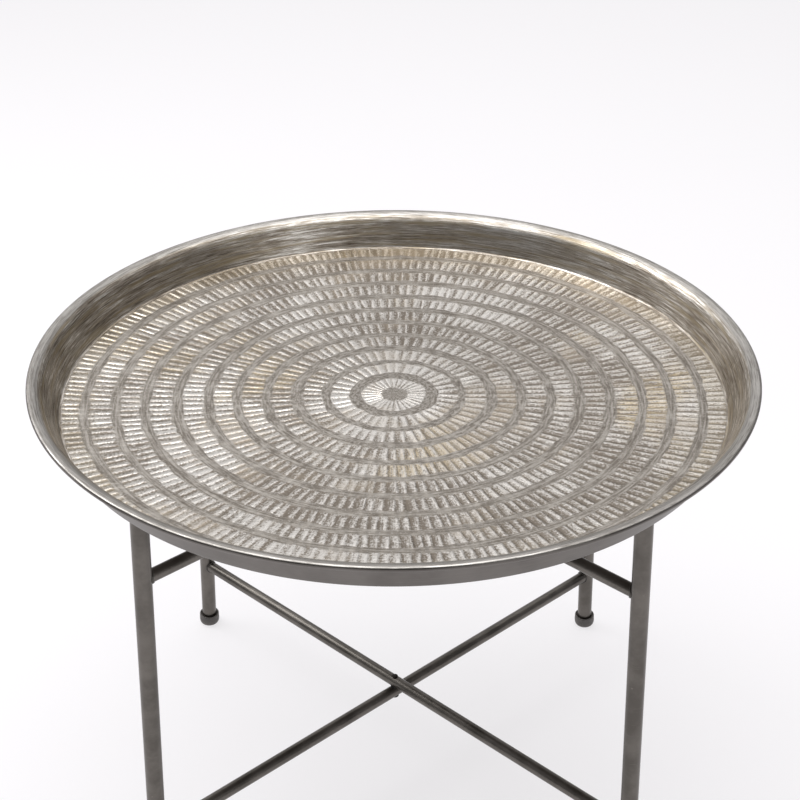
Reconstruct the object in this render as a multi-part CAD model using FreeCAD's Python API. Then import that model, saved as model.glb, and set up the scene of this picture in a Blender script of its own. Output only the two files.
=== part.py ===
"""Folding tray table: a round metal tray that lifts off a stand of two crossed, pivoted tube frames.

Units are millimetres. +Z is up, the floor is z = 0, and the fold axis is the Z axis.
The outer frame runs from the front left (-X, -Y) to the back right (+X, +Y).
The inner frame runs from the back left (-X, +Y) to the front right (+X, -Y).
"""
import FreeCAD, Part
import math
import os

Vector = FreeCAD.Vector

# ---- driving dimensions of the tray ----
TABLE_HEIGHT = 471.0          # floor to the crest of the tray's rim
TRAY_DIAMETER = 660.0
TRAY_DEPTH = 34.5             # rim crest down to the edge of the tray's floor
DISH_DEPTH = 9.0              # edge of the floor down to its flat middle
FLAT_RADIUS = 100.0           # flat middle of the dished floor
SHEET = 1.2                   # thickness of the tray's sheet metal
FLOOR_RADIUS = 305.0          # where the floor meets the wall
FLOOR_CORNER = 2.5            # inside radius between floor and wall
WALL_FLARE = 21.0             # degrees that the wall leans out from the vertical
WIRE_RADIUS = 0.95            # wire inside the rolled rim
CURL_INNER = 1.0              # inside radius of the rolled rim
CURL_SWEEP = 215.0            # degrees that the sheet wraps over the wire

# ---- driving dimensions of the stand ----
FRAME_ANGLE = 42.8            # degrees from X to the plane of each open frame
FOOT_REACH = 301.0            # fold axis to a leg's axis at the floor
TOP_REACH = 283.0             # fold axis to a leg's axis at the top of its pad
LEG_RADIUS = 8.0
RAIL_RADIUS = 6.0
TUBE_WALL = 1.2
LOWER_RAIL_Z = 71.0           # axis of the outer frame's lower rail
UPPER_RAIL_Z = 345.4          # axis of the inner frame's upper rail
LEG_END_Z = 3.0               # a leg's tube stops this far above the floor

# ---- pivots ----
SPACER = 0.5                  # washer between two crossing rails
PIVOT_GAP = 0.2               # running gap beside the inner frame's rail
RIVET_RADIUS = 2.5
RIVET_CLEARANCE = 0.05        # running fit in the inner frame's rails
RIVET_HEAD_RADIUS = 3.4
RIVET_HEAD_HEIGHT = 1.1
WASHER_RADIUS = 4.2
TAIL_WASHER = 0.5             # washer under each rivet's formed tail

# ---- feet and pads ----
FOOT_HEIGHT = 13.0
FOOT_SOLE_RADIUS = 8.8
FOOT_WIDE_RADIUS = 11.3       # widest, at FOOT_WIDE_HEIGHT
FOOT_WIDE_HEIGHT = 5.5
FOOT_TOP_RADIUS = 10.6
FOOT_SPARE = 2.0              # made this far below the floor before its sole is cut flat
LIP_GAP = 1.3                 # open gap round the tube at the foot's lip
LIP_DEPTH = 3.5
PAD_HEAD = 4.5                # height of the pad above the tube's end
PAD_STEM = 14.0               # length of the pad's stem in the tube
PAD_EDGE = 1.2
PAD_GAP = 0.35                # under the dish at a pad's middle; its inner edge almost touches

# ---- welds ----
WELD_ROOT = 10.6              # radius of a bead's cone at the leg's axis
WELD_TOE = 7.0                # radius of the cone where the bead ends on the rail
WELD_REACH = 12.2             # distance from the leg's axis to the bead's toe

# ---- worked out ----
LEAN = math.radians(WALL_FLARE)
FLOOR_EDGE_Z = TABLE_HEIGHT - TRAY_DEPTH
FLAT_Z = FLOOR_EDGE_Z - DISH_DEPTH
CORNER_X = FLOOR_RADIUS + FLOOR_CORNER * (math.tan(LEAN) - 1 / math.cos(LEAN))
CORNER_Z = FLOOR_EDGE_Z + FLOOR_CORNER
DISH_RUN = CORNER_X - FLAT_RADIUS
DISH_RISE = CORNER_Z - FLAT_Z
DISH_RADIUS = (DISH_RUN ** 2 + DISH_RISE ** 2 - FLOOR_CORNER ** 2) / (2 * DISH_DEPTH)
DISH_CENTRE_Z = FLAT_Z + DISH_RADIUS
DISH_SWEEP = math.degrees(math.atan2(DISH_RUN, DISH_CENTRE_Z - CORNER_Z))
CURL_OUTER = CURL_INNER + SHEET
CURL_X = TRAY_DIAMETER / 2 - CURL_OUTER
CURL_Z = TABLE_HEIGHT - CURL_OUTER
RAIL_STEP = 2 * RAIL_RADIUS + SPACER + PIVOT_GAP
INNER_LOWER_Z = LOWER_RAIL_Z + RAIL_STEP
OUTER_UPPER_Z = UPPER_RAIL_Z + RAIL_STEP
PAD_DROP = math.sqrt((DISH_RADIUS + SHEET) ** 2 - (TOP_REACH - FLAT_RADIUS) ** 2)
PAD_TOP_Z = DISH_CENTRE_Z - PAD_DROP - PAD_GAP
PAD_BOTTOM_Z = PAD_TOP_Z - PAD_HEAD
VERY_LONG = 1000.0
UP = Vector(0, 0, 1)

os.makedirs("parts", exist_ok=True)


def polar(centre_x, centre_z, radius, degrees):
    """Point on a circle in the XZ plane."""
    angle = math.radians(degrees)
    return Vector(centre_x + radius * math.cos(angle), 0, centre_z + radius * math.sin(angle))


def arc(centre_x, centre_z, radius, start, end):
    """Arc edge in the XZ plane between two angles in degrees, by way of their middle."""
    points = [polar(centre_x, centre_z, radius, a) for a in (start, (start + end) / 2, end)]
    return Part.Arc(*points).toShape()


def line(start, end):
    return Part.LineSegment(start, end).toShape()


def revolve(edges):
    """Solid of revolution about Z from closed profile edges in the XZ plane."""
    face = Part.Face(Part.Wire(Part.__sortEdges__(edges)))
    return face.revolve(Vector(0, 0, 0), UP, 360)


def rod(start, end, radius):
    return Part.makeCylinder(radius, (end - start).Length, start, end - start)


def tube(start, end, radius, wall):
    return rod(start, end, radius).cut(rod(start, end, radius - wall))


def save(name, shape):
    shape.exportStep("parts/" + name + ".step")
    print(f"{name}: solids {len(shape.Solids)}, volume {shape.Volume:.0f}, valid {shape.isValid()}")


# ---- tray ----
def lip_radius():
    """Radius of the lip's upper face, tangent to the wall and to the crest of the rolled rim."""
    reach = CURL_X - FLOOR_RADIUS - TRAY_DEPTH * math.tan(LEAN)
    return reach / (math.cos(LEAN) - (1 - math.sin(LEAN)) * math.tan(LEAN))


def sheet_face(offset):
    """Edges of one face of the tray's sheet: flat middle, dish, corner, wall and lip.

    Offset 0 is the upper face and offset SHEET is the underside. The dish is an arc that is
    tangent to the flat middle and to the corner.
    """
    dish_end = DISH_SWEEP - 90
    lip = lip_radius()
    lip_z = TABLE_HEIGHT - lip
    wall_start = polar(CORNER_X, CORNER_Z, FLOOR_CORNER + offset, -WALL_FLARE)
    wall_end = polar(CURL_X, lip_z, lip - offset, 180 - WALL_FLARE)
    return [
        line(Vector(0, 0, FLAT_Z - offset), Vector(FLAT_RADIUS, 0, FLAT_Z - offset)),
        arc(FLAT_RADIUS, DISH_CENTRE_Z, DISH_RADIUS + offset, -90, dish_end),
        arc(CORNER_X, CORNER_Z, FLOOR_CORNER + offset, dish_end, -WALL_FLARE),
        line(wall_start, wall_end),
        arc(CURL_X, lip_z, lip - offset, 180 - WALL_FLARE, 90),
    ]


def tray():
    """Sheet with a dished floor, a flared wall and an edge rolled outwards and under, round a wire."""
    end = 90 - CURL_SWEEP
    edges = sheet_face(0) + sheet_face(SHEET)
    edges.append(arc(CURL_X, CURL_Z, CURL_OUTER, 90, end))
    edges.append(arc(CURL_X, CURL_Z, CURL_INNER, 90, end))
    edges.append(line(polar(CURL_X, CURL_Z, CURL_INNER, end), polar(CURL_X, CURL_Z, CURL_OUTER, end)))
    edges.append(line(Vector(0, 0, FLAT_Z), Vector(0, 0, FLAT_Z - SHEET)))
    return revolve(edges)


def rim_wire():
    return Part.makeTorus(CURL_X, WIRE_RADIUS, Vector(0, 0, CURL_Z))


# ---- stand, in each frame's own XZ plane before it is turned ----
def leg_reach(height):
    """Distance of a leg's axis from the fold axis at a height."""
    return FOOT_REACH - (FOOT_REACH - TOP_REACH) * height / PAD_TOP_Z


def leg_point(side, height):
    return Vector(side * leg_reach(height), 0, height)


def leg(side):
    return tube(leg_point(side, LEG_END_Z), leg_point(side, PAD_BOTTOM_Z), LEG_RADIUS, TUBE_WALL)


def leg_envelope(side):
    """Solid rod with the leg's outside, for shaping what butts against it."""
    return rod(leg_point(side, 0), leg_point(side, PAD_TOP_Z), LEG_RADIUS)


def rail(height, hole_radius):
    """Rail between the two legs of a frame, coped to their tubes and drilled for its pivot rivet."""
    shape = tube(leg_point(-1, height), leg_point(1, height), RAIL_RADIUS, TUBE_WALL)
    for side in (-1, 1):
        shape = shape.cut(leg_envelope(side))
    below = Vector(0, 0, height - 2 * RAIL_RADIUS)
    above = Vector(0, 0, height + 2 * RAIL_RADIUS)
    return shape.cut(rod(below, above, hole_radius))


def weld_bead(side, height):
    """Fillet of weld round the end of a rail, between the leg's tube and the rail's."""
    start = leg_point(side, height)
    inwards = Vector(-side, 0, 0)
    bead = Part.makeCone(WELD_ROOT, WELD_TOE, WELD_REACH, start, inwards)
    rail_core = rod(start, start + inwards * 2 * WELD_REACH, RAIL_RADIUS)
    return bead.cut(leg_envelope(side)).cut(rail_core)


def welds(heights):
    return Part.makeCompound([weld_bead(side, z) for z in heights for side in (-1, 1)])


def leg_direction(side):
    direction = leg_point(side, PAD_TOP_Z) - leg_point(side, 0)
    return direction.normalize()


def turned_on_leg(shape, side, height):
    """Move a shape made round +Z at the origin so that it stands round a leg's axis at a height."""
    turn = FreeCAD.Rotation(UP, leg_direction(side))
    placed = shape.copy()
    placed.Placement = FreeCAD.Placement(leg_point(side, height), turn)
    return placed


def half_space_box(bottom, top):
    """Wide box between two heights, used to trim a leaning part flat."""
    corner = Vector(-VERY_LONG, -VERY_LONG, bottom)
    return Part.makeBox(2 * VERY_LONG, 2 * VERY_LONG, top - bottom, corner)


def foot(side):
    """Moulded cup: wide at its middle, narrower at its sole, with an open lip round the tube."""
    outline = [
        Vector(0, 0, -FOOT_SPARE),
        Vector(FOOT_SOLE_RADIUS, 0, -FOOT_SPARE),
        Vector(FOOT_SOLE_RADIUS, 0, 0),
        Vector(FOOT_WIDE_RADIUS, 0, FOOT_WIDE_HEIGHT),
        Vector(FOOT_TOP_RADIUS, 0, FOOT_HEIGHT),
        Vector(0, 0, FOOT_HEIGHT),
    ]
    outside = revolve([line(a, b) for a, b in zip(outline, outline[1:] + outline[:1])])
    lip = Part.makeCylinder(LEG_RADIUS + LIP_GAP, FOOT_HEIGHT, Vector(0, 0, FOOT_HEIGHT - LIP_DEPTH))
    cup = turned_on_leg(outside.cut(lip), side, 0)
    cup = cup.common(half_space_box(0, FOOT_HEIGHT * 2))
    return cup.cut(rod(leg_point(side, LEG_END_Z), leg_point(side, PAD_TOP_Z), LEG_RADIUS))


def pad(side):
    """Plug in a leg's open top: a stem in the tube and a chamfered head for the tray to rest on."""
    head = Part.makeCylinder(LEG_RADIUS, PAD_HEAD)
    top_edge = [e for e in head.Edges if e.BoundBox.ZMin > PAD_HEAD / 2]
    head = head.makeChamfer(PAD_EDGE, top_edge)
    stem = Part.makeCylinder(LEG_RADIUS - TUBE_WALL, PAD_STEM, Vector(0, 0, -PAD_STEM))
    return turned_on_leg(head.fuse(stem).removeSplitter(), side, PAD_BOTTOM_Z)


# ---- pivots on the fold axis ----
def dome(base_z, up):
    """Domed rivet head with its flat side at base_z, up or down."""
    rise = RIVET_HEAD_HEIGHT
    ball_radius = (RIVET_HEAD_RADIUS ** 2 + rise ** 2) / (2 * rise)
    centre = Vector(0, 0, base_z + (rise - ball_radius) * (1 if up else -1))
    ball = Part.makeSphere(ball_radius, centre)
    bottom = base_z if up else base_z - rise
    return ball.common(half_space_box(bottom, bottom + rise))


def rivet(inner_z, outer_z):
    """Rivet through the crossing rails, with its tail formed on the outer frame's side."""
    up = 1 if inner_z > outer_z else -1
    head_z = inner_z + up * (RAIL_RADIUS + PIVOT_GAP)
    tail_z = outer_z - up * (RAIL_RADIUS + TAIL_WASHER)
    shank = rod(Vector(0, 0, min(head_z, tail_z)), Vector(0, 0, max(head_z, tail_z)), RIVET_RADIUS)
    return shank.fuse([dome(head_z, up > 0), dome(tail_z, up < 0)]).removeSplitter()


def washer(bottom_z, thickness, hole_radius):
    ring = Part.makeCylinder(WASHER_RADIUS, thickness, Vector(0, 0, bottom_z))
    hole = Part.makeCylinder(hole_radius, thickness, Vector(0, 0, bottom_z))
    return ring.cut(hole)


def turned(shape, degrees):
    copy = shape.copy()
    copy.rotate(Vector(0, 0, 0), UP, degrees)
    return copy


def save_frame(name, degrees, sides, lower_z, upper_z, hole_radius):
    """One frame: two legs, two rails, its welds, and each leg's foot and pad."""
    save(name + "_lower_rail", turned(rail(lower_z, hole_radius), degrees))
    save(name + "_upper_rail", turned(rail(upper_z, hole_radius), degrees))
    save(name + "_frame_welds", turned(welds((lower_z, upper_z)), degrees))
    for side, place in sides:
        save(name + "_leg_" + place, turned(leg(side), degrees))
        save("foot_" + place, turned(foot(side), degrees))
        save("tray_pad_" + place, turned(pad(side), degrees))


def save_pivots():
    """Rivet, spacer washer and tail washer at the lower and the upper crossing of the rails."""
    save("lower_pivot_rivet", rivet(INNER_LOWER_Z, LOWER_RAIL_Z))
    save("upper_pivot_rivet", rivet(UPPER_RAIL_Z, OUTER_UPPER_Z))
    loose = RIVET_RADIUS + RIVET_CLEARANCE
    save("lower_spacer_washer", washer(LOWER_RAIL_Z + RAIL_RADIUS, SPACER, loose))
    save("upper_spacer_washer", washer(OUTER_UPPER_Z - RAIL_RADIUS - SPACER, SPACER, loose))
    save("lower_tail_washer", washer(LOWER_RAIL_Z - RAIL_RADIUS - TAIL_WASHER, TAIL_WASHER, RIVET_RADIUS))
    save("upper_tail_washer", washer(OUTER_UPPER_Z + RAIL_RADIUS, TAIL_WASHER, RIVET_RADIUS))


save("tray", tray())
save("rim_wire", rim_wire())
save_frame(
    "outer", FRAME_ANGLE, ((-1, "front_left"), (1, "back_right")),
    LOWER_RAIL_Z, OUTER_UPPER_Z, RIVET_RADIUS,
)
save_frame(
    "inner", -FRAME_ANGLE, ((-1, "back_left"), (1, "front_right")),
    INNER_LOWER_Z, UPPER_RAIL_Z, RIVET_RADIUS + RIVET_CLEARANCE,
)
save_pivots()
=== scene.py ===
"""Looks of the folding tray table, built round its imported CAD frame. Units are metres.

The frame is the CAD model's own: +Z up, the floor at z = 0, the fold axis on Z, and the viewer at -Y.
The tray gets a mesh with its chiselled rings, and the feet, welds and rivets get detailed meshes.
The tubes, pads, washers and rim wire keep their CAD meshes and get node materials.
"""
import math
import random

import bpy
import numpy as np
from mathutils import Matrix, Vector


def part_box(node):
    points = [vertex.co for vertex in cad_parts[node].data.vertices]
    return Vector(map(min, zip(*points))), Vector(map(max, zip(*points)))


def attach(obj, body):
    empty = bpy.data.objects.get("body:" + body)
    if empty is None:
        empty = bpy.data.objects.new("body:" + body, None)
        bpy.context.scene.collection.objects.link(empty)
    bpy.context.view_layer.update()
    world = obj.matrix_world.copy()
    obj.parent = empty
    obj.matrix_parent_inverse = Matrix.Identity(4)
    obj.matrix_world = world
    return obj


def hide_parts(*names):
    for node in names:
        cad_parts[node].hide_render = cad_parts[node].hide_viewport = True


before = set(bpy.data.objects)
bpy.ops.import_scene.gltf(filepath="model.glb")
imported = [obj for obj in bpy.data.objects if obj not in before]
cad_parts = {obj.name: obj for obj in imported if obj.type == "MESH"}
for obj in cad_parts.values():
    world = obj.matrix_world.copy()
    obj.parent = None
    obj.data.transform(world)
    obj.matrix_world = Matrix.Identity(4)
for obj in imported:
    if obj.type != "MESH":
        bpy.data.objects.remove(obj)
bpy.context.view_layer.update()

MM = 0.001

# ---- tray: the sizes that its box doesn't give ----
TRAY_LOW, TRAY_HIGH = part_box("tray")
RIM_RADIUS = TRAY_HIGH.x
RIM_TOP = TRAY_HIGH.z
UNDERSIDE = TRAY_LOW.z
SHEET = 1.2 * MM
FLAT_Z = UNDERSIDE + SHEET        # top of the floor's flat middle
FLAT_RADIUS = 100 * MM
DISH_DEPTH = 9 * MM
FLOOR_EDGE_Z = FLAT_Z + DISH_DEPTH
FLOOR_RADIUS = 305 * MM
FLOOR_CORNER = 2.5 * MM
WALL_FLARE = math.radians(21)
CORNER_R = FLOOR_RADIUS + FLOOR_CORNER * (math.tan(WALL_FLARE) - 1 / math.cos(WALL_FLARE))
CORNER_Z = FLOOR_EDGE_Z + FLOOR_CORNER
DISH_RUN = CORNER_R - FLAT_RADIUS
DISH_RISE = CORNER_Z - FLAT_Z
DISH_RADIUS = (DISH_RUN ** 2 + DISH_RISE ** 2 - FLOOR_CORNER ** 2) / (2 * DISH_DEPTH)
DISH_SWEEP = math.atan2(DISH_RUN, DISH_RADIUS - DISH_RISE)
CURL_INNER = 1.0 * MM
CURL_OUTER = CURL_INNER + SHEET
CURL_SWEEP = math.radians(215)
CREST_END = math.radians(50)  # the polish of the inside stops this high on the rolled rim
CURL_R = RIM_RADIUS - CURL_OUTER
CURL_Z = RIM_TOP - CURL_OUTER
ROUND_STEPS = 400             # segments round the wall and the rim

# ---- the chiselled rings of the tray's floor ----
RING_COUNT = 11
RING_START = 11.9 * MM         # inner end of the first ring's strokes
RING_PITCH = 27.45 * MM
STROKE_LENGTH = 19.8 * MM
STROKE_WIDTH = 8.5 * MM
FIRST_RING_STROKES = 31
STROKE_DEPTH = 0.58 * MM
STROKE_VALLEY = 0.32          # share of a stroke's width taken by its steep face
STROKE_SAMPLES = (0.0, 0.07, 0.16, 0.25, 0.32, 0.5, 0.7, 0.9)
STROKE_ENVELOPE = ((0.0, 0.0), (0.07, 0.7), (0.19, 1.0), (0.81, 1.0), (0.93, 0.7), (1.0, 0.0))
STROKE_LEVEL = 0.55           # share of a stroke's height that lies at the floor's level
VALLEY_JITTER = 0.13          # of a stroke's width, either way
STROKE_SLANT = 0.16           # of a stroke's width, either way, between its two ends
STROKE_DEPTHS = (0.65, 1.2)   # least and greatest share of the depth
STROKE_END_JITTER = 1.3       # millimetres, either way
RING_START_JITTER = 1.0       # millimetres, either way
LAST_RING_GAP = 1.8 * MM      # between the last ring and the edge of the floor
SPOT_RADIUS = 5 * MM          # smooth spot in the middle
FLOOR_WAVE = 0.16 * MM        # uneven hammering of the whole floor
# Turn, length in metres and phase of each wave in the floor.
FLOOR_WAVES = ((0.3, 0.115, 0.4), (1.5, 0.083, 1.9), (2.4, 0.141, 3.1), (0.9, 0.057, 5.0))

# ---- stand ----
LEG_RADIUS = 8 * MM
RAIL_RADIUS = 6 * MM
RIVET_HEAD_RADIUS = 3.4 * MM
RIVET_HEAD_RISE = 0.9 * MM
RIVET_SHANK_RADIUS = 2.5 * MM
CORNERS = ("front_left", "back_right", "back_left", "front_right")
FRAME_OF = {
    "front_left": "outer_frame", "back_right": "outer_frame",
    "back_left": "inner_frame", "front_right": "inner_frame",
}


# ---- meshes ----
def new_piece(name, vertices, faces, materials, face_materials=None):
    """Smooth mesh object at the origin, with its vertices in the row frame."""
    mesh = bpy.data.meshes.new(name)
    mesh.from_pydata([tuple(v) for v in vertices], [], faces)
    for material in materials:
        mesh.materials.append(material)
    mesh.polygons.foreach_set("use_smooth", [True] * len(mesh.polygons))
    if face_materials is not None:
        mesh.polygons.foreach_set("material_index", face_materials)
    mesh.update()
    piece = bpy.data.objects.new(name, mesh)
    bpy.context.scene.collection.objects.link(piece)
    return piece


def add_attribute(piece, name, values):
    attribute = piece.data.attributes.new(name, "FLOAT", "POINT")
    attribute.data.foreach_set("value", np.asarray(values, np.float32))


class Shell:
    """Vertices and faces of a surface that grows row by row; a row is a closed loop round the Z axis."""

    def __init__(self):
        self.vertices = []
        self.faces = []
        self.kinds = []
        self.values = {"relief": [], "band": [], "tone": []}

    def row(self, angles, radii, heights, relief=0.0, band=0.0, tone=0.5):
        """Add a loop of vertices and return it as (first index, angles)."""
        first = len(self.vertices)
        angles, radii, heights = np.broadcast_arrays(angles, radii, heights)
        for a, r, z in zip(angles, radii, heights):
            self.vertices.append((r * math.cos(a), r * math.sin(a), z))
        for name, value in (("relief", relief), ("band", band), ("tone", tone)):
            self.values[name].extend(np.broadcast_to(value, angles.shape))
        return first, np.array(angles)

    def stitch(self, inner, outer, kind):
        """Join two loops with faces, whatever their counts, by taking the nearer next vertex."""
        (first_a, a), (first_b, b) = inner, outer
        if len(a) == len(b):
            count = len(a)
            for i in range(count):
                j = (i + 1) % count
                self.faces.append((first_a + i, first_b + i, first_b + j, first_a + j))
                self.kinds.append(kind)
            return
        i = j = 0
        while i < len(a) or j < len(b):
            next_a = a[i + 1] if i + 1 < len(a) else a[0] + 2 * math.pi
            next_b = b[j + 1] if j + 1 < len(b) else b[0] + 2 * math.pi
            corner_a = first_a + i % len(a)
            corner_b = first_b + j % len(b)
            if j >= len(b) or (i < len(a) and next_a < next_b):
                self.faces.append((corner_a, corner_b, first_a + (i + 1) % len(a)))
                i += 1
            else:
                self.faces.append((corner_a, corner_b, first_b + (j + 1) % len(b)))
                j += 1
            self.kinds.append(kind)

    def cap(self, loop, height, kind, upwards):
        """Close a loop with a fan to a vertex on the axis."""
        centre = len(self.vertices)
        self.vertices.append((0.0, 0.0, height))
        for name, value in (("relief", 0.3), ("band", 0.0), ("tone", 0.5)):
            self.values[name].append(value)
        first, angles = loop
        for i in range(len(angles)):
            a, b = first + i, first + (i + 1) % len(angles)
            self.faces.append((centre, a, b) if upwards else (centre, b, a))
            self.kinds.append(kind)


# ---- tray ----
FLOOR_KIND, WALL_KIND, OUTSIDE_KIND = 0, 1, 2


def stroke_height(share):
    """Height, 0 to 1, across one chisel stroke: down a steep face, then up a long gentle one."""
    if share < STROKE_VALLEY:
        t = share / STROKE_VALLEY
        return 1 - t * t * (3 - 2 * t)
    return (share - STROKE_VALLEY) / (1 - STROKE_VALLEY)


def floor_height(radius, below=0.0):
    """Height of the dished floor, or of the face a distance below it."""
    run = np.maximum(np.asarray(radius) - FLAT_RADIUS, 0.0)
    return FLAT_Z + DISH_RADIUS - np.sqrt((DISH_RADIUS + below) ** 2 - run ** 2)


def floor_wave(x, y):
    """Shallow unevenness of a hand-beaten sheet."""
    wave = 0.0
    for turn, length, phase in FLOOR_WAVES:
        wave = wave + np.sin(2 * math.pi * (x * math.cos(turn) + y * math.sin(turn)) / length + phase)
    return FLOOR_WAVE * wave / 4


def ring_limits(ring, chance):
    """Inner and outer radius of a ring's strokes."""
    inner = RING_START + ring * RING_PITCH + chance.uniform(-RING_START_JITTER, RING_START_JITTER) * MM
    outer = inner + STROKE_LENGTH + chance.uniform(-STROKE_END_JITTER, STROKE_END_JITTER) * MM
    return inner, min(outer, FLOOR_RADIUS - LAST_RING_GAP)


def stroke_count(radius):
    """Strokes in a ring of this mean radius; the smallest rings have narrower ones."""
    return max(FIRST_RING_STROKES, round(2 * math.pi * radius / STROKE_WIDTH))


def uneven_edges(count, chance, jitter):
    """Angles of the valleys between strokes, unevenly spaced."""
    step = 2 * math.pi / count
    return np.array([(i + chance.uniform(-jitter, jitter)) * step for i in range(count)])


def draws(chance, low, high, count):
    return np.array([chance.uniform(low, high) for _ in range(count)])


def across_strokes(per_stroke, shares):
    """Values between each stroke and the next, at the samples across it."""
    following = np.roll(per_stroke, -1)
    return (per_stroke[:, None] * (1 - shares) + following[:, None] * shares).ravel()


def sampled_angles(edges, shares):
    """Angles of the samples across every stroke, from the angles of the valleys."""
    following = np.append(edges[1:], edges[0] + 2 * math.pi)
    return (edges[:, None] * (1 - shares) + following[:, None] * shares).ravel()


def ring_rows(shell, ring, chance):
    """The rows of one ring of strokes, from its inner to its outer end."""
    inner, outer = ring_limits(ring, chance)
    count = stroke_count((inner + outer) / 2)
    depth = STROKE_DEPTH * min(1.0, math.pi * (inner + outer) / count / STROKE_WIDTH) ** 0.75
    shares = np.array(STROKE_SAMPLES)
    near = uneven_edges(count, chance, VALLEY_JITTER)
    slant = draws(chance, -STROKE_SLANT, STROKE_SLANT, count) * 2 * math.pi / count
    inner_angles = sampled_angles(near, shares)
    outer_angles = sampled_angles(near + slant, shares)
    inner_end = across_strokes(draws(chance, -STROKE_END_JITTER, STROKE_END_JITTER, count) * MM, shares)
    outer_end = across_strokes(draws(chance, -STROKE_END_JITTER, STROKE_END_JITTER, count) * MM, shares)
    if ring == RING_COUNT - 1:
        outer_end = outer_end * 0.3
    deep = across_strokes(draws(chance, *STROKE_DEPTHS, count), shares)
    tone = np.repeat(draws(chance, 0, 1, count), len(shares))
    heights = np.tile([stroke_height(s) for s in shares], count)
    rows = []
    for along, strength in STROKE_ENVELOPE:
        angles = inner_angles * (1 - along) + outer_angles * along
        radii = (inner + inner_end) * (1 - along) + (outer + outer_end) * along
        wave = floor_wave(radii * np.cos(angles), radii * np.sin(angles))
        z = floor_height(radii) + wave + depth * strength * deep * (heights - STROKE_LEVEL)
        rows.append(shell.row(angles, radii, z, heights * strength + 0.35 * (1 - strength), strength, tone))
    return rows


def chiselled_floor(shell):
    """Upper face of the floor: a smooth spot, then the rings of strokes. Returns the last row."""
    chance = random.Random(7)
    last = None
    for ring in range(RING_COUNT):
        rows = ring_rows(shell, ring, chance)
        if last is None:
            spot = shell.row(rows[0][1], SPOT_RADIUS, FLAT_Z + 0.1 * MM, 0.4)
            shell.cap(spot, FLAT_Z + 0.15 * MM, FLOOR_KIND, True)
            shell.stitch(spot, rows[0], FLOOR_KIND)
        else:
            shell.stitch(last, rows[0], FLOOR_KIND)
        for near, far in zip(rows, rows[1:]):
            shell.stitch(near, far, FLOOR_KIND)
        last = rows[-1]
    return last


def arc_points(centre_r, centre_z, radius, start, end, steps):
    """Points (r, z) along an arc in the tray's profile."""
    turns = [start + (end - start) * i / steps for i in range(steps + 1)]
    return [(centre_r + radius * math.cos(t), centre_z + radius * math.sin(t)) for t in turns]


def lip_radius():
    """Radius of the lip's upper face, tangent to the wall and to the crest of the rolled rim."""
    depth = RIM_TOP - FLOOR_EDGE_Z
    reach = CURL_R - FLOOR_RADIUS - depth * math.tan(WALL_FLARE)
    return reach / (math.cos(WALL_FLARE) - (1 - math.sin(WALL_FLARE)) * math.tan(WALL_FLARE))


def sheet_profile(offset):
    """Corner, wall and lip of one face of the sheet, from the floor's edge to the crest."""
    lip = lip_radius()
    start = DISH_SWEEP - math.pi / 2
    corner = arc_points(CORNER_R, CORNER_Z, FLOOR_CORNER + offset, start, -WALL_FLARE, 5)
    curve = arc_points(CURL_R, RIM_TOP - lip, lip - offset, math.pi - WALL_FLARE, math.pi / 2, 12)
    wall = []
    for share in (0.33, 0.67):
        wall.append(tuple(a * (1 - share) + b * share for a, b in zip(corner[-1], curve[0])))
    return corner + wall + curve


def tray_piece(materials):
    """The tray: chiselled floor, brushed wall and lip, rolled rim, and a plain outside."""
    shell = Shell()
    last = chiselled_floor(shell)
    angles = np.arange(ROUND_STEPS) * 2 * math.pi / ROUND_STEPS
    end = math.pi / 2 - CURL_SWEEP
    inside = sheet_profile(0.0)
    crest = arc_points(CURL_R, CURL_Z, CURL_OUTER, math.pi / 2, CREST_END, 6)[1:]
    bead = arc_points(CURL_R, CURL_Z, CURL_OUTER, CREST_END, end, 14)[1:]
    hollow = arc_points(CURL_R, CURL_Z, CURL_INNER, end, math.pi / 2, 8)
    outside = sheet_profile(SHEET)[::-1][1:]
    below = [r * FLOOR_RADIUS for r in (0.98, 0.93, 0.86, 0.78, 0.7, 0.6, 0.5, 0.4, 0.32, 0.15, 0.05)]
    underside = [(r, float(floor_height(r, SHEET))) for r in below]
    for points, kind in ((inside + crest, WALL_KIND), (bead + hollow + outside + underside, OUTSIDE_KIND)):
        for r, z in points:
            row = shell.row(angles, r, z, 0.5)
            shell.stitch(last, row, kind)
            last = row
    shell.cap(last, UNDERSIDE, OUTSIDE_KIND, False)
    piece = new_piece("chiselled_tray", shell.vertices, shell.faces, materials, shell.kinds)
    for name, values in shell.values.items():
        add_attribute(piece, name, values)
    return piece


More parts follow.
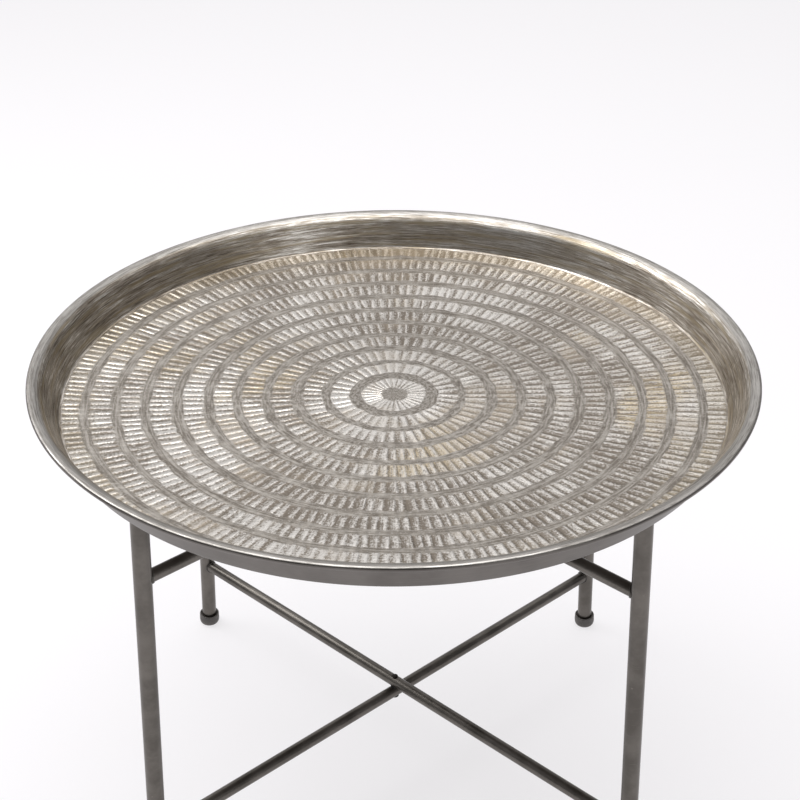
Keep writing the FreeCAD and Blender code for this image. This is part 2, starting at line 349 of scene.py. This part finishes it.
# ---- materials ----
class Finish:
    """A node material under construction, with short calls for the nodes that the finishes share."""

    def __init__(self, name, **constants):
        self.material = bpy.data.materials.new(name)
        self.material.use_nodes = True
        self.tree = self.material.node_tree
        self.shader = next(n for n in self.tree.nodes if n.type == "BSDF_PRINCIPLED")
        for socket, value in constants.items():
            self.shader.inputs[socket.replace("_", " ")].default_value = value
        self.place = self.add("ShaderNodeTexCoord").outputs["Object"]

    def add(self, kind, inputs=None, **settings):
        """New node with its settings, and its inputs linked or set by name or number."""
        node = self.tree.nodes.new(kind)
        for name, value in settings.items():
            setattr(node, name, value)
        for name, value in (inputs or {}).items():
            if isinstance(value, bpy.types.NodeSocket):
                self.tree.links.new(value, node.inputs[name])
            else:
                node.inputs[name].default_value = value
        return node

    def math(self, operation, a, b):
        return self.add("ShaderNodeMath", {0: a, 1: b}, operation=operation).outputs[0]

    def attribute(self, name):
        return self.add("ShaderNodeAttribute", attribute_name=name).outputs["Fac"]

    def stretched(self, x, y, z):
        """The place on the object, scaled along each axis."""
        inputs = {0: self.place, 1: (x, y, z)}
        return self.add("ShaderNodeVectorMath", inputs, operation="MULTIPLY").outputs[0]

    def noise(self, vector, scale=1.0, detail=3.0, roughness=0.55, distortion=0.0):
        inputs = {"Vector": vector, "Scale": scale, "Detail": detail, "Roughness": roughness}
        inputs["Distortion"] = distortion
        return self.add("ShaderNodeTexNoise", inputs).outputs["Fac"]

    def spread(self, value, low, high, to_low=0.0, to_high=1.0):
        """Map a value from one range to another, clamped, with a soft step."""
        inputs = {"Value": value, "From Min": low, "From Max": high, "To Min": to_low, "To Max": to_high}
        return self.add("ShaderNodeMapRange", inputs, interpolation_type="SMOOTHSTEP").outputs["Result"]

    def blend(self, share, a, b):
        """Mix two colours, each a socket or a triple."""
        inputs = {"Factor": share, "A": a, "B": b}
        node = self.tree.nodes.new("ShaderNodeMix")
        node.data_type = "RGBA"
        sockets = {"Factor": node.inputs[0], "A": node.inputs[6], "B": node.inputs[7]}
        for name, value in inputs.items():
            if isinstance(value, bpy.types.NodeSocket):
                self.tree.links.new(value, sockets[name])
            else:
                sockets[name].default_value = value if name == "Factor" else (*value, 1.0)
        return node.outputs[2]

    def from_axis(self):
        """Distance from the Z axis."""
        flat = self.stretched(1.0, 1.0, 0.0)
        return self.add("ShaderNodeVectorMath", {0: flat}, operation="LENGTH").outputs["Value"]

    def round_axis(self, around, across):
        """Coordinates stretched round the Z axis: coarse along a circle, fine across it."""
        flat = self.stretched(1.0, 1.0, 0.0)
        radius = self.from_axis()
        direction = self.add("ShaderNodeVectorMath", {0: flat}, operation="NORMALIZE").outputs[0]
        height = self.add("ShaderNodeSeparateXYZ", {0: self.place}).outputs["Z"]
        profile = self.math("MULTIPLY", self.math("ADD", radius, self.math("MULTIPLY", height, 1.3)), across)
        circle = self.add("ShaderNodeVectorMath", {0: direction, 1: (around,) * 3}, operation="MULTIPLY")
        lift = self.add("ShaderNodeCombineXYZ", {"Z": profile})
        return self.add("ShaderNodeVectorMath", {0: circle.outputs[0], 1: lift.outputs[0]}).outputs[0]

    def bump(self, height, distance, strength=1.0, under=None):
        inputs = {"Height": height, "Distance": distance, "Strength": strength}
        if under is not None:
            inputs["Normal"] = under
        return self.add("ShaderNodeBump", inputs).outputs["Normal"]

    def wear(self, color, roughness, normal=None):
        """Connect what varies over the surface to the shader, and return the material."""
        self.tree.links.new(color, self.shader.inputs["Base Color"])
        self.tree.links.new(roughness, self.shader.inputs["Roughness"])
        if normal is not None:
            self.tree.links.new(normal, self.shader.inputs["Normal"])
        return self.material


def chiselled_metal():
    """Antiqued silver: bright worn crests, brown patina in the channels, and warm brassy patches.

    It is brighter near the middle of the tray, and a little warmer in the outermost ring.
    """
    f = Finish("chiselled_metal", Metallic=1.0)
    relief = f.attribute("relief")
    band = f.attribute("band")
    tone = f.attribute("tone")
    lathe = f.noise(f.round_axis(9.0, 480.0), 1.0, 4.0, 0.65)
    grain = f.noise(f.place, 480.0, 4.0, 0.72)
    hatch = f.noise(f.round_axis(170.0, 70.0), 1.0, 3.0, 0.6, 0.4)
    rubbed = f.noise(f.place, 9.0, 3.0, 0.6)
    warm = f.noise(f.stretched(1.0, 1.0, 0.0), 6.5, 2.0, 0.5, 0.6)
    patina = f.blend(f.spread(lathe, 0.36, 0.66), (0.18, 0.157, 0.132), (0.43, 0.4, 0.362))
    patina = f.blend(f.spread(grain, 0.5, 0.72, 0.0, 0.6), patina, (0.6, 0.57, 0.53))
    light = f.math("ADD", f.math("MULTIPLY", relief, 0.55), f.math("MULTIPLY", tone, 0.2))
    light = f.math("ADD", light, f.spread(rubbed, 0.35, 0.7, -0.14, 0.2))
    light = f.math("ADD", light, f.spread(grain, 0.3, 0.7, -0.3, 0.3))
    light = f.math("ADD", light, f.spread(f.from_axis(), 0.03, 0.11, 0.22, 0.0))
    light = f.math("ADD", light, f.spread(hatch, 0.36, 0.64, -0.13, 0.13))
    silver = f.blend(f.spread(light, 0.05, 0.85), (0.21, 0.178, 0.145), (0.87, 0.84, 0.795))
    brown = f.noise(f.place, 13.0, 3.0, 0.6)
    silver = f.blend(f.spread(brown, 0.5, 0.68, 0.0, 0.4), silver, (0.5, 0.425, 0.33))
    silver = f.blend(f.spread(f.from_axis(), 0.268, 0.285, 0.0, 0.14), silver, (0.52, 0.44, 0.29))
    brassy = f.math("MULTIPLY", f.spread(warm, 0.54, 0.7), f.spread(hatch, 0.42, 0.6))
    silver = f.blend(f.math("MULTIPLY", brassy, 0.55), silver, (0.64, 0.51, 0.3))
    color = f.blend(f.spread(band, 0.05, 0.75), patina, silver)
    rough = f.spread(light, 0.0, 1.0, 0.38, 0.22)
    rough = f.math("ADD", rough, f.spread(band, 0.1, 0.8, 0.08, 0.0))
    rub = f.math("ADD", f.math("MULTIPLY", lathe, 0.7), f.math("MULTIPLY", grain, 0.8))
    rub = f.math("ADD", rub, f.math("MULTIPLY", hatch, f.spread(band, 0.2, 0.8, 0.0, 0.5)))
    return f.wear(color, rough, f.bump(rub, 0.00015, 0.9))


def brushed_wall():
    """The wall and lip, turned silver with dark, brown and olive streaks, and the greyer crest of the rim."""
    f = Finish("brushed_wall_metal", Metallic=1.0)
    hair = f.noise(f.round_axis(16.0, 950.0), 1.0, 3.0, 0.7)
    fine = f.noise(f.round_axis(8.0, 480.0), 1.0, 5.0, 0.7, 0.3)
    broad = f.noise(f.round_axis(3.0, 140.0), 1.0, 4.0, 0.65, 0.4)
    cloud = f.noise(f.place, 11.0, 3.0, 0.6)
    warm = f.noise(f.round_axis(3.0, 150.0), 1.0, 2.0, 0.5)
    streak = f.math("ADD", f.math("MULTIPLY", fine, 0.42), f.math("MULTIPLY", broad, 0.2))
    streak = f.math("ADD", streak, f.math("MULTIPLY", hair, 0.38))
    streak = f.math("ADD", streak, f.spread(cloud, 0.3, 0.7, -0.03, 0.03))
    color = f.blend(f.spread(streak, 0.39, 0.52), (0.13, 0.105, 0.082), (0.4, 0.355, 0.3))
    color = f.blend(f.spread(streak, 0.5, 0.6), color, (0.88, 0.85, 0.81))
    color = f.blend(f.spread(warm, 0.5, 0.64, 0.0, 0.5), color, (0.43, 0.35, 0.225))
    level = f.add("ShaderNodeSeparateXYZ", {0: f.place}).outputs["Z"]
    rim = f.blend(f.spread(streak, 0.38, 0.62), (0.2, 0.186, 0.17), (0.53, 0.508, 0.48))
    color = f.blend(f.spread(level, RIM_TOP - 3.2 * MM, RIM_TOP - 1.6 * MM), color, rim)
    rough = f.spread(streak, 0.4, 0.62, 0.48, 0.3)
    height = f.math("ADD", fine, f.math("MULTIPLY", hair, 0.8))
    return f.wear(color, rough, f.bump(height, 0.00016, 0.9))


def outside_metal():
    """Outside and underside of the tray: satin gunmetal with faint mottling."""
    f = Finish("tray_outside_metal", Metallic=1.0)
    cloud = f.noise(f.place, 18.0, 4.0, 0.6)
    fine = f.noise(f.round_axis(4.0, 700.0), 1.0, 4.0, 0.65)
    grain = f.noise(f.place, 900.0, 2.0, 0.6)
    color = f.blend(f.spread(cloud, 0.3, 0.7), (0.125, 0.114, 0.105), (0.185, 0.171, 0.159))
    color = f.blend(f.spread(fine, 0.5, 0.72, 0.0, 0.35), color, (0.24, 0.226, 0.208))
    rough = f.spread(cloud, 0.3, 0.7, 0.3, 0.4)
    height = f.math("ADD", f.math("MULTIPLY", fine, 0.6), f.math("MULTIPLY", grain, 0.4))
    return f.wear(color, rough, f.bump(height, 0.00006, 0.7))


def stand_metal(name="stand_metal", low=(0.106, 0.097, 0.087), high=(0.172, 0.158, 0.143), lumps=0.0):
    """Warm gunmetal coating, satin, with mottling, fine scratches and small worn spots."""
    f = Finish(name, Metallic=1.0, Coat_Weight=0.06, Coat_Roughness=0.25)
    cloud = f.noise(f.place, 26.0, 4.0, 0.62)
    scratch = f.noise(f.stretched(60.0, 60.0, 900.0), 1.0, 3.0, 0.6, 0.3)
    grain = f.noise(f.place, 1100.0, 2.0, 0.6)
    spots = f.noise(f.place, 150.0, 3.0, 0.7)
    color = f.blend(f.spread(cloud, 0.32, 0.68), low, high)
    color = f.blend(f.spread(spots, 0.68, 0.76, 0.0, 0.45), color, (0.27, 0.245, 0.215))
    color = f.blend(f.spread(scratch, 0.6, 0.75, 0.0, 0.3), color, (0.2, 0.185, 0.165))
    rough = f.spread(cloud, 0.3, 0.7, 0.3, 0.42)
    normal = f.bump(f.math("ADD", grain, f.math("MULTIPLY", scratch, 0.6)), 0.00005, 0.7)
    if lumps:
        normal = f.bump(spots, lumps, 0.8, normal)
    return f.wear(color, rough, normal)


def steel_wire():
    f = Finish("steel_wire", Metallic=1.0)
    lines = f.noise(f.round_axis(3.0, 2500.0), 1.0, 3.0, 0.6)
    color = f.blend(f.spread(lines, 0.35, 0.65), (0.22, 0.21, 0.2), (0.42, 0.4, 0.38))
    return f.wear(color, f.spread(lines, 0.3, 0.7, 0.32, 0.48), f.bump(lines, 0.00004, 0.6))


def moulded(name, low, high, roughness, grain_size, metallic=0.0):
    """Matt moulded rubber, plastic or blackened steel, with a fine grain and dusty patches."""
    f = Finish(name, Metallic=metallic)
    cloud = f.noise(f.place, 90.0, 3.0, 0.6)
    grain = f.noise(f.place, grain_size, 3.0, 0.65)
    color = f.blend(f.spread(cloud, 0.35, 0.7), low, high)
    color = f.blend(f.spread(grain, 0.55, 0.8, 0.0, 0.4), color, tuple(1.6 * c for c in high))
    rough = f.spread(cloud, 0.3, 0.7, roughness - 0.08, roughness + 0.08)
    return f.wear(color, rough, f.bump(grain, 0.00009, 0.8))


def floor_paper():
    """Seamless pale studio floor, which glows so that it stays near white."""
    f = Finish("studio_floor", Emission_Strength=0.7)
    f.shader.inputs["Emission Color"].default_value = (1.0, 0.985, 1.0, 1.0)
    cloud = f.noise(f.place, 1.5, 2.0, 0.5)
    color = f.blend(cloud, (0.245, 0.24, 0.25), (0.26, 0.255, 0.265))
    return f.wear(color, f.spread(cloud, 0.2, 0.8, 0.72, 0.78))


# ---- stand ----
def leg_ends(place):
    """Bottom and top of a leg's axis. The leg leans in, so its box's outer side is its bottom."""
    low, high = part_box(FRAME_OF[place].split("_")[0] + "_leg_" + place)
    bottom, top = Vector((0, 0, low.z)), Vector((0, 0, high.z))
    for axis in (0, 1):
        outer, inner = (high, low) if high[axis] > 0 else (low, high)
        side = math.copysign(LEG_RADIUS, outer[axis])
        bottom[axis] = outer[axis] - side
        top[axis] = inner[axis] + side
    return bottom, top


def leg_direction(place):
    bottom, top = leg_ends(place)
    return (top - bottom).normalized()


def floor_point(place):
    """Where a leg's axis meets the floor."""
    bottom, _ = leg_ends(place)
    direction = leg_direction(place)
    return bottom - direction * (bottom.z / direction.z)


def lathe(profile, steps, origin, direction, shape=None):
    """Surface of revolution about a line; the profile's points are (radius, distance along it)."""
    turn = direction.to_track_quat("Z", "Y").to_matrix()
    vertices = []
    for radius, along in profile:
        for i in range(steps):
            angle = 2 * math.pi * i / steps
            r, h = shape(radius, along, angle) if shape else (radius, along)
            point = Vector((r * math.cos(angle), r * math.sin(angle), h))
            vertices.append(origin + turn @ point)
    faces = []
    for ring in range(len(profile) - 1):
        for i in range(steps):
            j = (i + 1) % steps
            a, b = ring * steps, (ring + 1) * steps
            faces.append((a + i, a + j, b + j, b + i))
    faces.append(tuple(range(steps))[::-1])
    faces.append(tuple((len(profile) - 1) * steps + i for i in range(steps)))
    return vertices, faces


# Millimetres from the leg's axis, and along it from the floor: out under the sole, up the side,
# over the lip and down the inside.
FOOT_PROFILE = (
    (7.4, -2.0), (8.4, -2.0), (9.2, -0.5), (9.9, 0.5), (10.6, 1.6), (11.05, 3.0), (11.25, 4.6), (11.3, 6.4),
    (11.2, 8.4), (11.0, 10.2), (11.1, 11.4), (11.0, 12.3), (10.6, 12.9), (10.0, 12.9), (9.5, 12.5),
    (9.2, 12.0), (8.9, 11.6), (8.6, 11.4), (8.05, 11.3), (8.05, 3.2), (7.4, 3.0),
)


def foot_piece(place, material):
    """Moulded cup: rounded sole, nearly straight side, and a lip with a shallow gap round the tube."""
    profile = [(r * MM, h * MM) for r, h in FOOT_PROFILE]
    vertices, faces = lathe(profile, 64, floor_point(place), leg_direction(place))
    for v in vertices:
        v.z = max(v.z, 0.0)
    return new_piece("ferrule_" + place, vertices, faces, [material])


def rail_frame(node, place):
    """Centre of a rail's end on the leg's axis, the direction in along the rail, and its side."""
    low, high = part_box(node)
    height = (low.z + high.z) / 2
    direction = leg_direction(place)
    start = floor_point(place) + direction * (height / direction.z)
    inwards = Vector((-start.x, -start.y, 0)).normalized()
    return start, inwards, inwards.cross(Vector((0, 0, 1)))


WELD_STEPS = 72
WELD_SIDES = 12
WELD_LUMPS = 9
WELD_RADIUS = 1.0 * MM


def weld_bead(start, inwards, sideways, chance):
    """A lumpy bead along the line where a rail meets its leg, as a closed tube."""
    up = Vector((0, 0, 1))
    lumps = [chance.uniform(-0.3, 0.3) for _ in range(WELD_LUMPS)]
    centres = []
    sizes = []
    for i in range(WELD_STEPS):
        turn = 2 * math.pi * i / WELD_STEPS
        across = RAIL_RADIUS * math.cos(turn)
        reach = math.sqrt(LEG_RADIUS ** 2 - across ** 2)
        lump = lumps[i * WELD_LUMPS // WELD_STEPS] * MM
        swell = 0.15 * MM * abs(math.sin(turn * WELD_LUMPS + lumps[0])) + 0.4 * lump
        centres.append(start + inwards * (reach + 0.5 * MM) + sideways * across * 1.02
                       + up * RAIL_RADIUS * 1.02 * math.sin(turn))
        sizes.append(WELD_RADIUS + swell)
    vertices = []
    for i, centre in enumerate(centres):
        along = (centres[(i + 1) % WELD_STEPS] - centres[i - 1]).normalized()
        out = (centre - start - inwards * (centre - start).dot(inwards)).normalized()
        third = along.cross(out).normalized()
        for k in range(WELD_SIDES):
            a = 2 * math.pi * k / WELD_SIDES
            vertices.append(centre + (out * math.cos(a) * 0.8 + third * math.sin(a) * 1.25) * sizes[i])
    faces = []
    for i in range(WELD_STEPS):
        for k in range(WELD_SIDES):
            j, m = (i + 1) % WELD_STEPS, (k + 1) % WELD_SIDES
            faces.append((i * WELD_SIDES + k, j * WELD_SIDES + k, j * WELD_SIDES + m, i * WELD_SIDES + m))
    return vertices, faces


def frame_welds(body, places, material):
    """All the beads of one frame, as one piece."""
    chance = random.Random(len(body) + len(places[0]))
    prefix = body.split("_")[0]
    vertices, faces = [], []
    for rail in ("_lower_rail", "_upper_rail"):
        for place in places:
            bead_vertices, bead_faces = weld_bead(*rail_frame(prefix + rail, place), chance)
            first = len(vertices)
            vertices.extend(bead_vertices)
            faces.extend(tuple(first + i for i in face) for face in bead_faces)
    return new_piece(prefix + "_weld_beads", vertices, faces, [material])


def rivet_piece(node, name, material):
    """Rivet with a set head and a formed tail, both slightly uneven from the hammer."""
    low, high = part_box(node)
    half = (high.z - low.z) / 2
    turns = [math.radians(a) for a in (0, 18, 36, 54, 70, 82)]
    cap = [(RIVET_HEAD_RADIUS * math.cos(t), RIVET_HEAD_RISE * math.sin(t)) for t in turns]
    top = [(r, half - RIVET_HEAD_RISE + h) for r, h in cap]
    bottom = [(r, -h) for r, h in top[::-1]]
    shank = [(RIVET_SHANK_RADIUS, -half + RIVET_HEAD_RISE), (RIVET_SHANK_RADIUS, half - RIVET_HEAD_RISE)]
    profile = bottom + shank + top

    def dented(radius, along, angle):
        dent = 0.05 * MM * math.sin(3 * angle + 700 * along) + 0.04 * MM * math.sin(5 * angle)
        return (radius + dent if radius > RIVET_SHANK_RADIUS else radius), along

    centre = (low + high) / 2
    vertices, faces = lathe(profile, 40, centre, Vector((0, 0, 1)), dented)
    return new_piece(name, vertices, faces, [material])


# ---- dress the CAD nodes and add the pieces ----
def dress(node, material):
    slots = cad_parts[node].data.materials
    slots.clear()
    slots.append(material)


def add_piece(piece, body, slot, *nodes):
    """Let a piece ride on its body and stand for the CAD nodes, which it hides. The slot is not used."""
    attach(piece, body)
    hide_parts(*nodes)


def build_tray():
    tray = tray_piece([chiselled_metal(), brushed_wall(), outside_metal()])
    add_piece(tray, "tray", "tray_metal", "tray")
    dress("rim_wire", steel_wire())


def build_stand():
    tube = stand_metal()
    weld = stand_metal("weld_metal", (0.06, 0.055, 0.05), (0.12, 0.112, 0.103), 0.0004)
    rubber = moulded("foot_rubber", (0.08, 0.073, 0.068), (0.125, 0.114, 0.106), 0.5, 700.0)
    plastic = moulded("pad_plastic", (0.03, 0.03, 0.03), (0.055, 0.054, 0.052), 0.5, 900.0)
    nylon = moulded("washer_nylon", (0.05, 0.05, 0.05), (0.085, 0.084, 0.08), 0.5, 1200.0)
    black = moulded("blackened_steel", (0.02, 0.018, 0.016), (0.05, 0.045, 0.04), 0.45, 1500.0, 1.0)
    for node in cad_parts:
        if "_leg_" in node or node.endswith(("_rail", "tail_washer")):
            dress(node, tube)
        elif node.startswith("tray_pad"):
            dress(node, plastic)
        elif node.endswith("spacer_washer"):
            dress(node, nylon)
    for place in CORNERS:
        add_piece(foot_piece(place, rubber), FRAME_OF[place], "foot_rubber", "foot_" + place)
    for body, places in (("outer_frame", CORNERS[:2]), ("inner_frame", CORNERS[2:])):
        add_piece(frame_welds(body, places, weld), body, "weld_metal", body + "_welds")
    for level in ("lower", "upper"):
        rivet = rivet_piece(level + "_pivot_rivet", level + "_rivet", black)
        add_piece(rivet, "outer_frame", "rivet_metal", level + "_pivot_rivet")


# ---- studio ----
FLOOR_SIZE = 40.0
OVERHEAD_LIGHT = {"place": (0.0, 0.15, 3.0), "size": (3.0, 3.2), "radiance": 2.2}
LEFT_LIGHT = {"place": (-1.75, 0.85, 2.35), "size": (1.5, 1.5), "radiance": 4.6}
RIGHT_LIGHT = {"place": (1.9, -2.3, 1.5), "size": (2.0, 1.5), "radiance": 1.05}
CAMERA_PLACE = (0.0156, -1.2498, 1.1493)
CAMERA_PITCH = math.radians(30.22)
CAMERA_YAW = math.radians(0.465)
CAMERA_LENS = 70.0


def studio_floor():
    half = FLOOR_SIZE / 2
    corners = [(-half, -half, 0), (half, -half, 0), (half, half, 0), (-half, half, 0)]
    floor = new_piece("studio_floor", corners, [(0, 1, 2, 3)], [floor_paper()])
    floor.location.z = -0.0002


def area_light(name, place, size, radiance, target=(0.0, 0.0, 0.4)):
    """Rectangular softbox that faces a target and shines with a given radiance."""
    data = bpy.data.lights.new(name, "AREA")
    data.shape = "RECTANGLE"
    data.size, data.size_y = size
    data.energy = radiance * math.pi * size[0] * size[1]
    light = bpy.data.objects.new(name, data)
    light.location = place
    light.rotation_euler = (Vector(target) - Vector(place)).to_track_quat("-Z", "Y").to_euler()
    light.visible_camera = False
    bpy.context.scene.collection.objects.link(light)


def remap(tree, value, low, high, to_low, to_high):
    """Soft step node between two values, and its result."""
    node = tree.nodes.new("ShaderNodeMapRange")
    node.interpolation_type = "SMOOTHSTEP"
    tree.links.new(value, node.inputs["Value"])
    for name, number in zip(("From Min", "From Max", "To Min", "To Max"), (low, high, to_low, to_high)):
        node.inputs[name].default_value = number
    return node.outputs["Result"]


def product(tree, a, b):
    node = tree.nodes.new("ShaderNodeMath")
    node.operation = "MULTIPLY"
    tree.links.new(a, node.inputs[0])
    tree.links.new(b, node.inputs[1])
    return node.outputs[0]


def studio_world():
    """Surroundings by direction: pale behind the table and upwards, dark on the viewer's side.

    The left is a little brighter than the right. Both flanks dip, then brighten far to the side.
    """
    world = bpy.data.worlds.new("studio")
    world.use_nodes = True
    tree = world.node_tree
    background = next(n for n in tree.nodes if n.type == "BACKGROUND")
    direction = tree.nodes.new("ShaderNodeTexCoord").outputs["Generated"]
    split = tree.nodes.new("ShaderNodeSeparateXYZ")
    tree.links.new(direction, split.inputs[0])
    behind = remap(tree, split.outputs["Y"], -0.3, 0.5, 0.3, 1.0)
    upwards = remap(tree, split.outputs["Z"], 0.02, 0.65, 0.28, 0.92)
    leftwards = remap(tree, split.outputs["X"], -0.4, 0.4, 1.2, 0.8)
    sideways = tree.nodes.new("ShaderNodeMath")
    sideways.operation = "ABSOLUTE"
    tree.links.new(split.outputs["X"], sideways.inputs[0])
    flank = remap(tree, sideways.outputs[0], 0.25, 0.45, 1.0, 0.6)
    beside = remap(tree, sideways.outputs[0], 0.7, 1.0, 1.0, 2.4)
    strength = product(tree, product(tree, behind, upwards), product(tree, leftwards, beside))
    strength = product(tree, strength, flank)
    tree.links.new(strength, background.inputs["Strength"])
    background.inputs["Color"].default_value = (1.0, 0.992, 1.0, 1.0)
    bpy.context.scene.world = world


def studio():
    studio_floor()
    studio_world()
    area_light("overhead_softbox", target=(0.0, 0.15, 0.4), **OVERHEAD_LIGHT)
    area_light("left_softbox", **LEFT_LIGHT)
    area_light("right_softbox", **RIGHT_LIGHT)
    data = bpy.data.cameras.new("camera")
    data.lens = CAMERA_LENS
    data.sensor_width = 36.0
    camera = bpy.data.objects.new("camera", data)
    camera.location = CAMERA_PLACE
    camera.rotation_euler = (math.pi / 2 - CAMERA_PITCH, 0.0, CAMERA_YAW)
    bpy.context.scene.collection.objects.link(camera)
    bpy.context.scene.camera = camera
    bpy.context.scene.view_settings.view_transform = "Standard"


build_tray()
build_stand()
studio()
